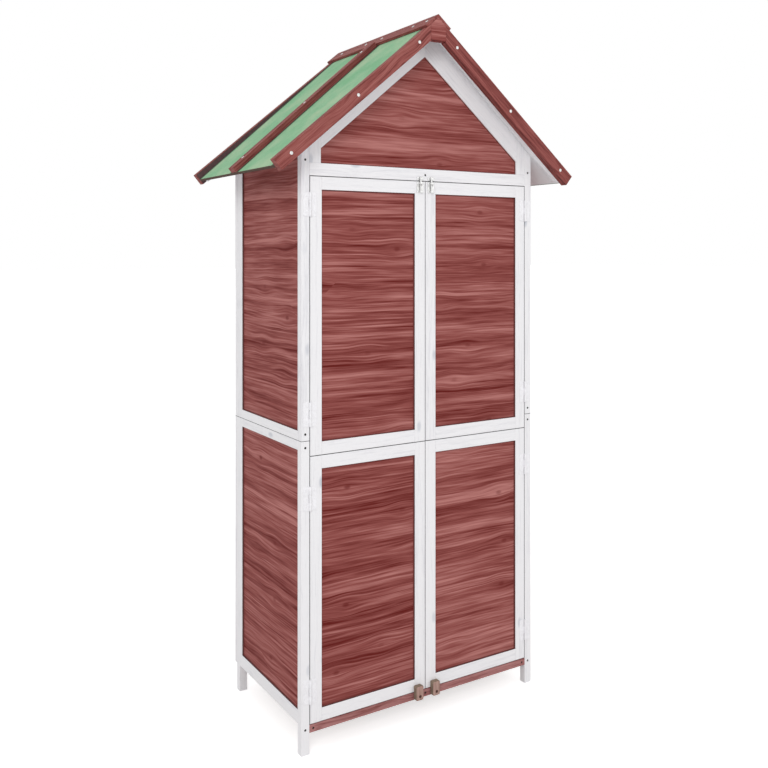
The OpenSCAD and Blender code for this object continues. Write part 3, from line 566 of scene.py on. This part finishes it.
def timber(name, body, slot, nodes, direction=None, radius=None, finish=None, pick=None, shortest=HOLE_EDGE,
           split=None):
    """A piece of sanded boards from these CAD nodes, with the grain along each board or in one direction.

    Its finish is the slot's own if none is given, and pick may name another for a node's face. Edges no
    longer than the shortest stay sharp. Faces are split at the height split, if one is given.
    """
    radius = radius or bpy.context.scene.shed_sizes.wood_round
    names = [finish or slot]
    parts = []
    for node in nodes:
        bm = solids_of(node)
        round_edges(bm, sharp_edges(bm, shortest), radius)
        if split:
            bmesh.ops.bisect_plane(bm, geom=[*bm.verts, *bm.edges, *bm.faces], dist=ONE_POINT / 2,
                                   plane_co=(0, 0, split), plane_no=UPWARDS)
            order_faces(bm)
        if pick:
            pick_finishes(bm, node, pick, names)
        mark_grain(bm, node, direction)
        parts.append(bm)
    finish_piece(name, join_solids(name, parts), body, nodes, names)


def cabinet_edge(node, face):
    """The finish of the faces of the cabinet's frame that are darkened as painted shade: in the seam between
    the halves, beside the leaves and beside the planks.
    """
    at, out = face.calc_center_median(), face.normal
    # End faces at the seam between the halves: dust and painted shade
    if abs(at.z - SEAM) < MM and abs(out.z) > 0.3:
        return "joint"
    # Front posts' faces beside the door gaps, above the sill: painted shade
    if node.startswith("front_posts") and at.z > SILL_TOP and out.x * at.x < 0 and abs(out.x) > SAME_WAY:
        return "joint"
    low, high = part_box("side_rails_lower")
    # Rail faces that look up or down beside the side planks, bar the lowest: painted shade
    if node.startswith("side_rails") and abs(out.z) > SAME_WAY and at.z > low.z + MM:
        return "reveal"
    # Back posts' front faces, behind the side rails: painted shade
    if node.startswith("back_posts") and abs(at.y - high.y) < MM and out.y < -SAME_WAY:
        return "reveal"
    return None


def leaf_edge(node, face):
    """The finish of the outer edges of a door leaf's frame, and of its edges beside the planks: both darker,
    as painted shade in the gaps and corners.
    """
    low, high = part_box(node)
    at, out = face.calc_center_median(), face.normal
    for i in (0, 2):
        if abs(out[i]) > SAME_WAY:
            # Outer edges in the door gaps and inner edges beside the planks: painted shade
            return "thin_white" if min(abs(at[i] - low[i]), abs(at[i] - high[i])) < 0.1 * MM else "reveal"
    return None


def barge_inside(node, face):
    """The finish of the back bargeboards' inner faces, darkened as painted shade."""
    behind = node == "bargeboards" and face.calc_center_median().y > 0
    return "reveal" if behind and face.normal.y < -SAME_WAY else None


def button_side(_, face):
    """The finish of a turn button's faces other than its front: painted shade."""
    return "bare_shade" if face.normal.y > -0.7 else None


def felt_underside(_, face):
    """The finish of the faces of the felt that look down: bare bitumen, darkened also as painted shade."""
    return "felt_edge" if face.normal.z < -0.3 else None


def panel(name, body, nodes, direction):
    """A piece of wall planks from these CAD nodes, with a groove round each face whose darker colour is
    painted shade.
    """
    sizes = bpy.context.scene.shed_sizes
    thickness = Vector(BACKWARDS if direction == RIGHTWARDS else RIGHTWARDS)
    parts = []
    for node in nodes:
        bm = solids_of(node)
        broad = [f for f in bm.faces
                 if abs(f.normal.dot(thickness)) > SAME_WAY and f.calc_area() > BROAD_FACE]
        for face in broad:
            outward = face.normal.copy()
            rim = list(face.verts)
            ring = bmesh.ops.inset_region(bm, faces=[face], thickness=sizes.groove_width,
                                          use_even_offset=True)
            for made in ring["faces"]:
                # The groove's faces take its darker colour, painted shade
                made.material_index = 1
            for vert in rim:
                vert.co -= outward * sizes.groove_depth
        mark_grain(bm, node, direction)
        parts.append(bm)
    finish_piece(name, join_solids(name, parts), body, nodes, ("red_stain", "groove_shade"))


def stamped(name, body, slot, nodes):
    """A piece of stamped metal from these CAD nodes: round corners on its plates, and softened edges."""
    sizes = bpy.context.scene.shed_sizes
    parts = []
    for node in nodes:
        bm = solids_of(node)
        corners = [e for e in sharp_edges(bm, THINNEST_PLATE, 80)
                   if e.calc_length() < THICKEST_PLATE and e.is_convex
                   and abs((e.verts[1].co - e.verts[0].co).normalized().y) > SAME_WAY]
        if corners:
            round_edges(bm, corners, sizes.plate_corner, 4)
        for face in bm.faces:
            face.smooth = True
        round_edges(bm, sharp_edges(bm, 0.0, SHARP_METAL), sizes.metal_round)
        order_faces(bm)
        for edge in bm.edges:
            edge.smooth = edge.calc_face_angle(0.0) < math.radians(SMOOTH_METAL)
        parts.append(bm)
    finish_piece(name, join_solids(name, parts), body, nodes, (slot,))


# Screws, made by Geometry Nodes on the seats of the CAD's screws

# The points of a screw's head lie farther out than this share of its widest radius
HEAD_SHARE = 0.8

# The length of a recess's slot in radii of the head, so that it runs out at the sides
SLOT_LENGTH = 1.1

# The shank's middle, in its own lengths from the seat, so that its top just reaches into the head
SHANK_DROP = -0.499

# The shank's radius, as a share of its head's
SHANK_SHARE = 0.42

# A quarter turn and the angle below which a head looks smooth, in radians
QUARTER_TURN = 1.57
SMOOTH_HEAD = 0.7


def screw_seats(node):
    """Each screw of a CAD node: its head's seat, the way it faces, and the head's radius and height."""
    bm = solids_of(node)
    seats = []
    for island in islands(bm):
        points = [v.co.copy() for v in island]
        axis = longest_edge(island)
        middle = sum(points, Vector()) / len(points)
        radial = [((p - middle) - axis * (p - middle).dot(axis)).length for p in points]
        widest = max(radial)
        head = [(p - middle).dot(axis) for p, r in zip(points, radial) if r > HEAD_SHARE * widest]
        if sum(head) < 0:
            axis = -axis
            head = [-h for h in head]
        seat = middle + axis * min(head)
        seats.append((seat, axis, widest, max(head) - min(head)))
    bm.free()
    return seats


def screw_tree(name):
    """A Geometry Nodes tree that puts a domed head with a cross recess on every point."""
    tree = bpy.data.node_groups.new(name, "GeometryNodeTree")
    sockets = tree.interface
    sockets.new_socket("Geometry", in_out="INPUT", socket_type="NodeSocketGeometry")
    for label, default in (("Head Radius", 3 * MM), ("Head Height", MM), ("Recess Width", 0.5 * MM),
                           ("Dome", 0.6), ("Shank Radius", MM), ("Shank Length", 5 * MM)):
        sockets.new_socket(label, in_out="INPUT", socket_type="NodeSocketFloat").default_value = default
    sockets.new_socket("Sides", in_out="INPUT", socket_type="NodeSocketInt").default_value = 20
    sockets.new_socket("Material", in_out="INPUT", socket_type="NodeSocketMaterial")
    sockets.new_socket("Geometry", in_out="OUTPUT", socket_type="NodeSocketGeometry")
    given = add(tree, "NodeGroupInput").outputs
    radius, height = given["Head Radius"], given["Head Height"]

    # Dome: a sphere whose lower half is pressed flat and whose upper half is filled out
    ball = add(tree, "GeometryNodeMeshUVSphere", {"Segments": given["Sides"], "Rings": 12, "Radius": 1.0})
    place = add(tree, "ShaderNodeSeparateXYZ", {0: add(tree, "GeometryNodeInputPosition").outputs[0]}).outputs
    above = add(tree, MATH, {0: place["Z"], 1: 0.0}, operation="MAXIMUM")
    fuller = add(tree, MATH, {0: above.outputs[0], 1: given["Dome"]}, operation="POWER")
    point = add(tree, "ShaderNodeCombineXYZ", {"X": place["X"], "Y": place["Y"], "Z": fuller.outputs[0]})
    dome = add(tree, "GeometryNodeSetPosition", {
        "Geometry": ball.outputs["Mesh"], "Position": point.outputs[0]})
    size = add(tree, "ShaderNodeCombineXYZ", {"X": radius, "Y": radius, "Z": height})
    head = add(tree, "GeometryNodeTransform", {"Geometry": dome.outputs[0], "Scale": size.outputs[0]})

    # Cross recess: two bars cut from the top, half the height deep
    long = add(tree, MATH, {0: radius, 1: SLOT_LENGTH}, operation="MULTIPLY")
    bars = []
    for x, y in ((long.outputs[0], given["Recess Width"]), (given["Recess Width"], long.outputs[0])):
        bar_size = add(tree, "ShaderNodeCombineXYZ", {"X": x, "Y": y, "Z": height})
        bars.append(add(tree, "GeometryNodeMeshCube", {"Size": bar_size.outputs[0]}))
    top = add(tree, "ShaderNodeCombineXYZ", {"Z": height})
    cross = add(tree, "GeometryNodeMeshBoolean", operation="UNION", solver="EXACT")
    for bar in bars:
        tree.links.new(bar.outputs["Mesh"], cross.inputs["Mesh 2"])
    cross = add(tree, "GeometryNodeTransform", {
        "Geometry": cross.outputs["Mesh"], "Translation": top.outputs[0]})
    cut = add(tree, "GeometryNodeMeshBoolean", {"Mesh 1": head.outputs[0]}, operation="DIFFERENCE",
              solver="EXACT")
    tree.links.new(cross.outputs[0], cut.inputs["Mesh 2"])

    # Shank: a short stem into the wood
    shank = add(tree, "GeometryNodeMeshCylinder", {"Vertices": 12, "Radius": given["Shank Radius"],
                "Depth": given["Shank Length"]})
    down = add(tree, MATH, {0: given["Shank Length"], 1: SHANK_DROP}, operation="MULTIPLY")
    drop = add(tree, "ShaderNodeCombineXYZ", {"Z": down.outputs[0]})
    stem = add(tree, "GeometryNodeTransform", {
        "Geometry": shank.outputs["Mesh"], "Translation": drop.outputs[0]})
    screw = add(tree, "GeometryNodeJoinGeometry")
    for part in (stem.outputs[0], cut.outputs["Mesh"]):
        tree.links.new(part, screw.inputs[0])

    # One screw to a point, turned to its facing, and each recess at an angle of its own
    facing = add(tree, "GeometryNodeInputNamedAttribute", {"Name": "facing"}, data_type="FLOAT_VECTOR")
    aim = add(tree, "FunctionNodeAlignRotationToVector", {"Vector": facing.outputs[0]}, axis="Z")
    spin = add(tree, "FunctionNodeRandomValue", {
        "Min": (0.0, 0.0, 0.0), "Max": (0.0, 0.0, QUARTER_TURN), "Seed": 7}, data_type="FLOAT_VECTOR")
    turned = add(tree, "FunctionNodeRotateRotation", {0: aim.outputs[0], 1: spin.outputs[0]},
                 rotation_space="LOCAL")
    placed = add(tree, "GeometryNodeInstanceOnPoints", {"Points": given["Geometry"],
                 "Instance": screw.outputs[0], "Rotation": turned.outputs[0]})
    real = add(tree, "GeometryNodeRealizeInstances", {0: placed.outputs[0]})
    angle = add(tree, "GeometryNodeInputMeshEdgeAngle")
    soft = add(tree, "FunctionNodeCompare", {0: angle.outputs[0], 1: SMOOTH_HEAD}, data_type="FLOAT",
               operation="LESS_THAN")
    smooth = add(tree, "GeometryNodeSetShadeSmooth", {"Geometry": real.outputs[0]}, domain="FACE")
    sharp = add(tree, "GeometryNodeSetShadeSmooth", {"Geometry": smooth.outputs[0],
                "Shade Smooth": soft.outputs[0]}, domain="EDGE")
    painted = add(tree, "GeometryNodeSetMaterial", {"Geometry": sharp.outputs[0],
                  "Material": given["Material"]})
    add(tree, "NodeGroupOutput", {0: painted.outputs[0]})
    return tree


def grow(name, points, facings, tree, inputs):
    """The mesh that a Geometry Nodes tree makes on these points."""
    seeds = bpy.data.meshes.new(name + "_points")
    seeds.from_pydata(points, [], [])
    facing = seeds.attributes.new("facing", "FLOAT_VECTOR", "POINT")
    for item, vector in zip(facing.data, facings):
        item.vector = vector
    carrier = bpy.data.objects.new(name + "_points", seeds)
    bpy.context.scene.collection.objects.link(carrier)
    modifier = carrier.modifiers.new("grow", "NODES")
    modifier.node_group = tree
    for item in tree.interface.items_tree:
        if item.item_type == "SOCKET" and item.in_out == "INPUT" and item.name in inputs:
            modifier[item.identifier] = inputs[item.name]
    depsgraph = bpy.context.evaluated_depsgraph_get()
    mesh = bpy.data.meshes.new_from_object(carrier.evaluated_get(depsgraph), depsgraph=depsgraph)
    mesh.name = name
    carrier.modifiers.clear()
    bpy.data.objects.remove(carrier)
    bpy.data.meshes.remove(seeds)
    if not mesh.polygons:
        raise RuntimeError(f"{name} came out empty")
    return mesh


def screws(name, body, slot, node, dome=0.6, shank=5 * MM, finish=None):
    """A piece with a detailed head on every screw of a CAD node, in the slot's own finish if none is given.

    dome is the power that fills out the head: a lower one is flatter on top. shank is the shank's length.
    """
    material = finishes()[finish or slot]
    sizes = bpy.context.scene.shed_sizes
    tree = bpy.data.node_groups.get("screw_heads") or screw_tree("screw_heads")
    groups = {}
    for seat, facing, radius, height in screw_seats(node):
        groups.setdefault((round(radius, 5), round(height, 5)), []).append((seat, facing))
    parts = []
    for (radius, height), members in sorted(groups.items()):
        mesh = grow(name, [m[0] for m in members], [m[1] for m in members], tree, {
            "Head Radius": radius, "Head Height": height, "Recess Width": 2 * sizes.recess_width * radius,
            "Dome": dome, "Shank Radius": SHANK_SHARE * radius, "Shank Length": shank,
            "Sides": sizes.head_sides, "Material": material})
        bm = bmesh.new()
        bm.from_mesh(mesh)
        bpy.data.meshes.remove(mesh)
        parts.append(bm)
    finish_piece(name, join_solids(name, parts), body, [node], (finish or slot,))


# Stage

# The floor's glow for the camera, from near to far, and from where to where it changes, in metres
GLOW_NEAR, GLOW_FAR = 0.6, 0.8
GLOW_START, GLOW_END = 0.5, 2.5
FLOOR_REACH = 60.0

# The world's light, as a share of what the camera sees of it
WORLD_LIGHT = 0.70

# Each lamp's name, place in metres, power in watts and width in metres, all aimed at the middle of the shed
LAMPS = (("key_light", (-4.2, -4.8, 3.8), 134.0, 2.4),
         ("fill_light", (3.4, -5.0, 3.0), 44.0, 3.0))
LAMP_AIM = Vector((0, 0, 0.95))

# The camera as it was fitted to the photograph: place in metres, degrees from the front's normal, lens and
# film in millimetres, and shift as a share of the film
CAMERA_PLACE = (-1.375, -2.216, 1.262)
CAMERA_TURN = -31.82
CAMERA_LENS = 41.89
CAMERA_FILM = 36.0
CAMERA_SHIFT = -0.1725


def seen(tree):
    """1 for a ray from the camera, straight, mirrored or through glass, and 0 for other light."""
    path = add(tree, "ShaderNodeLightPath").outputs
    either = add(tree, MATH, {0: path["Is Camera Ray"], 1: path["Is Glossy Ray"]}, operation="MAXIMUM")
    return add(tree, MATH, {0: either.outputs[0], 1: path["Is Transmission Ray"]},
               operation="MAXIMUM").outputs[0]


# Operators: one for each piece or group of like pieces, and one for the stage


class SHED_OT_frames(bpy.types.Operator):
    """Paint the posts, rails, gable frames and door frames white"""

    bl_idname = "shed.frames"
    bl_label = "White frames"

    def execute(self, context):
        timber("cabinet_frame", "cabinet", "white_paint", (
            "front_posts_lower", "back_posts_lower", "front_posts_upper", "back_posts_upper",
            "side_rails_lower", "side_rails_upper", "back_frame_lower", "back_frame_upper",
            "front_header", "back_header", "door_stop", "front_gable_frame", "back_gable_frame"),
            pick=cabinet_edge, split=SILL_TOP)
        for door in DOORS:
            timber(f"{door}_leaf_frame", f"door_{door}", "white_paint", (f"door_frame_{door}",),
                   pick=leaf_edge)
        return {"FINISHED"}


class SHED_OT_planks(bpy.types.Operator):
    """Stain the planks of the walls, gables and doors, with their grain running across"""

    bl_idname = "shed.planks"
    bl_label = "Red planks"

    def execute(self, context):
        panel("side_wall_planks", "cabinet", ("side_planks_lower", "side_planks_upper"), BACKWARDS)
        panel("back_and_gable_planks", "cabinet", ("back_planks_lower", "back_planks_upper", "gable_planks"),
              RIGHTWARDS)
        for door in DOORS:
            panel(f"{door}_leaf_planks", f"door_{door}", (f"door_planks_{door}",), RIGHTWARDS)
        return {"FINISHED"}


class SHED_OT_trim(bpy.types.Operator):
    """Stain the sills, bargeboards, battens, ridge cap and apex blocks"""

    bl_idname = "shed.trim"
    bl_label = "Red trim"

    def execute(self, context):
        timber("sills", "cabinet", "trim_stain", ("front_sill", "back_sill"), finish="sill_stain")
        timber("roof_timber", "cabinet", "trim_stain", ("bargeboards", "roof_battens", "ridge_cap"),
               pick=barge_inside)
        timber("gable_apex_blocks", "cabinet", "red_stain", ("apex_blocks",), RIGHTWARDS)
        return {"FINISHED"}


class SHED_OT_roof(bpy.types.Operator):
    """Make the roof boards, the battens under them and the roofing felt"""

    bl_idname = "shed.roof"
    bl_label = "Roof boards and felt"

    def execute(self, context):
        timber("roof_lining", "cabinet", "white_paint", ("roof_boards", "verge_battens"))
        felt = "roofing_felt"
        bm = solids_of(felt)
        round_edges(bm, sharp_edges(bm, HOLE_EDGE), 0.6 * MM)
        names = [felt]
        pick_finishes(bm, felt, felt_underside, names)
        finish_piece("felt_cover", join_solids("felt_cover", [bm]), "cabinet", [felt], names)
        return {"FINISHED"}


class SHED_OT_floor(bpy.types.Operator):
    """Make the floor, its bearers and the dowels between the halves"""

    bl_idname = "shed.floor"
    bl_label = "Floor"

    def execute(self, context):
        timber("shed_floor", "cabinet", "bare_wood", ("floor_bearers", "floor_boards"))
        timber("post_dowels", "cabinet", "bare_wood", ("frame_dowels",), UPWARDS, 0.4 * MM)
        return {"FINISHED"}


class SHED_OT_hinges(bpy.types.Operator):
    """Make the butt hinges of the doors"""

    bl_idname = "shed.hinges"
    bl_label = "Hinges"

    def execute(self, context):
        stamped("post_hinge_plates", "cabinet", "white_metal", ("hinge_post_plates", "hinge_pins"))
        for door in DOORS:
            stamped(f"{door}_hinge_plates", f"door_{door}", "white_metal", (f"hinge_plates_{door}",))
        return {"FINISHED"}


class SHED_OT_bolts(bpy.types.Operator):
    """Make the barrel bolts and their keepers"""

    bl_idname = "shed.bolts"
    bl_label = "Barrel bolts"

    def execute(self, context):
        stamped("header_keepers", "cabinet", "zinc", ("bolt_keepers",))
        for side in SIDES:
            stamped(f"{side}_bolt_plate", f"door_upper_{side}", "zinc", (f"bolt_base_{side}",))
            stamped(f"{side}_bolt_rod", f"bolt_{side}", "zinc", (f"bolt_rod_{side}",))
        return {"FINISHED"}


class SHED_OT_buttons(bpy.types.Operator):
    """Make the wooden turn buttons"""

    bl_idname = "shed.buttons"
    bl_label = "Turn buttons"

    def execute(self, context):
        for side in SIDES:
            # Rounded with the arcs of its corners, in pieces of 0.39 mm, but not its hole's, of 0.29 mm
            timber(f"{side}_turn_button", f"turn_button_{side}", "bare_wood", (f"button_{side}",), UPWARDS,
                   context.scene.shed_sizes.button_round, pick=button_side, shortest=0.34 * MM)
        return {"FINISHED"}


class SHED_OT_screws(bpy.types.Operator):
    """Make the heads of all the screws"""

    bl_idname = "shed.screws"
    bl_label = "Screws"

    def execute(self, context):
        screws("roof_screw_heads", "cabinet", "zinc", "roof_screws")
        screws("sunk_screw_heads", "cabinet", "black_steel", "frame_screws", dome=0.3)
        screws("small_screw_heads", "cabinet", "white_metal", "hardware_screws")
        screws("button_screw_heads", "cabinet", "black_steel", "button_screws", shank=18 * MM,
               finish="brown_steel")
        for door in DOORS:
            screws(f"{door}_screw_heads", f"door_{door}", "white_metal", f"door_screws_{door}")
        return {"FINISHED"}


class SHED_OT_stage(bpy.types.Operator):
    """Set the plain floor, the soft lights and the camera"""

    bl_idname = "shed.stage"
    bl_label = "Stage"

    def execute(self, context):
        scene = context.scene
        scene.view_settings.view_transform = "Standard"

        # Floor: pale, and white to the camera where no shadow falls
        material, tree = new_material("pale_studio_floor")
        place = add(tree, "ShaderNodeTexCoord").outputs["Object"]
        away = add(tree, VECTOR_MATH, {0: place}, operation="LENGTH")
        lift = add(tree, MAP_RANGE, {
            "Value": away.outputs["Value"], "From Min": GLOW_START, "From Max": GLOW_END,
            "To Min": GLOW_NEAR, "To Max": GLOW_FAR})
        lift = add(tree, MATH, {0: seen(tree), 1: lift.outputs[0]}, operation="MULTIPLY")
        base = add(tree, "ShaderNodeBsdfDiffuse", {"Color": scene.shed_colours.ground})
        glow = add(tree, "ShaderNodeEmission", {"Strength": lift.outputs[0]})
        both = add(tree, "ShaderNodeAddShader", {0: base.outputs[0], 1: glow.outputs[0]})
        add(tree, "ShaderNodeOutputMaterial", {"Surface": both.outputs[0]})
        mesh = bpy.data.meshes.new("floor")
        corners = [(x * FLOOR_REACH, y * FLOOR_REACH, 0) for x, y in ((-1, -1), (1, -1), (1, 1), (-1, 1))]
        mesh.from_pydata(corners, [], [(0, 1, 2, 3)])
        mesh.materials.append(material)
        floor = bpy.data.objects.new("studio_floor", mesh)
        scene.collection.objects.link(floor)

        # World: white to the camera and in reflections, and an even soft light on the rest
        world = bpy.data.worlds.new("studio")
        scene.world = world
        world.use_nodes = True
        tree = world.node_tree
        tree.nodes.clear()
        strength = add(tree, MAP_RANGE, {"Value": seen(tree), "To Min": WORLD_LIGHT, "To Max": 1.0})
        sky = add(tree, "ShaderNodeBackground", {
            "Color": (1.0, 1.0, 1.0, 1.0), "Strength": strength.outputs[0]})
        add(tree, "ShaderNodeOutputWorld", {"Surface": sky.outputs[0]})

        # Lamps: a wide soft one high on the left of the camera, and a weaker one on its right
        for name, place, power, width in LAMPS:
            lamp = bpy.data.lights.new(name, "AREA")
            lamp.energy = power
            lamp.size = width
            holder = bpy.data.objects.new(name, lamp)
            holder.location = place
            holder.rotation_euler = (LAMP_AIM - Vector(place)).to_track_quat("-Z", "Y").to_euler()
            scene.collection.objects.link(holder)

        # Camera: level, and shifted down as the photograph is
        data = bpy.data.cameras.new("camera")
        data.lens = CAMERA_LENS
        data.sensor_width = CAMERA_FILM
        data.shift_y = CAMERA_SHIFT
        data.clip_start = 0.05
        data.clip_end = 200.0
        camera = bpy.data.objects.new("camera", data)
        camera.location = CAMERA_PLACE
        camera.rotation_euler = (math.radians(90), 0, math.radians(CAMERA_TURN))
        scene.collection.objects.link(camera)
        scene.camera = camera
        return {"FINISHED"}


OPERATORS = (SHED_OT_frames, SHED_OT_planks, SHED_OT_trim, SHED_OT_roof, SHED_OT_floor, SHED_OT_hinges,
             SHED_OT_bolts, SHED_OT_buttons, SHED_OT_screws, SHED_OT_stage)


class SHED_PT_panel(bpy.types.Panel):
    """Lists the shed's colours, sizes and pieces"""

    bl_idname = "SHED_PT_panel"
    bl_label = "Tool Shed"
    bl_space_type = "VIEW_3D"
    bl_region_type = "UI"
    bl_category = "Tool Shed"

    def draw(self, context):
        layout = self.layout
        for group in (context.scene.shed_colours, context.scene.shed_sizes):
            column = layout.column()
            for key in group.__annotations__:
                column.prop(group, key)
        column = layout.column()
        for operator in OPERATORS:
            column.operator(operator.bl_idname)


CLASSES = (ShedColours, ShedSizes, *OPERATORS, SHED_PT_panel)


def register():
    for cls in CLASSES:
        bpy.utils.register_class(cls)
    bpy.types.Scene.shed_colours = PointerProperty(type=ShedColours)
    bpy.types.Scene.shed_sizes = PointerProperty(type=ShedSizes)


def unregister():
    del bpy.types.Scene.shed_sizes
    del bpy.types.Scene.shed_colours
    for cls in reversed(CLASSES):
        bpy.utils.unregister_class(cls)


def main():
    register()
    shed = bpy.ops.shed
    for build in (shed.frames, shed.planks, shed.trim, shed.roof, shed.floor, shed.hinges, shed.bolts,
                  shed.buttons, shed.screws, shed.stage):
        build()


if __name__ == "__main__":
    main()
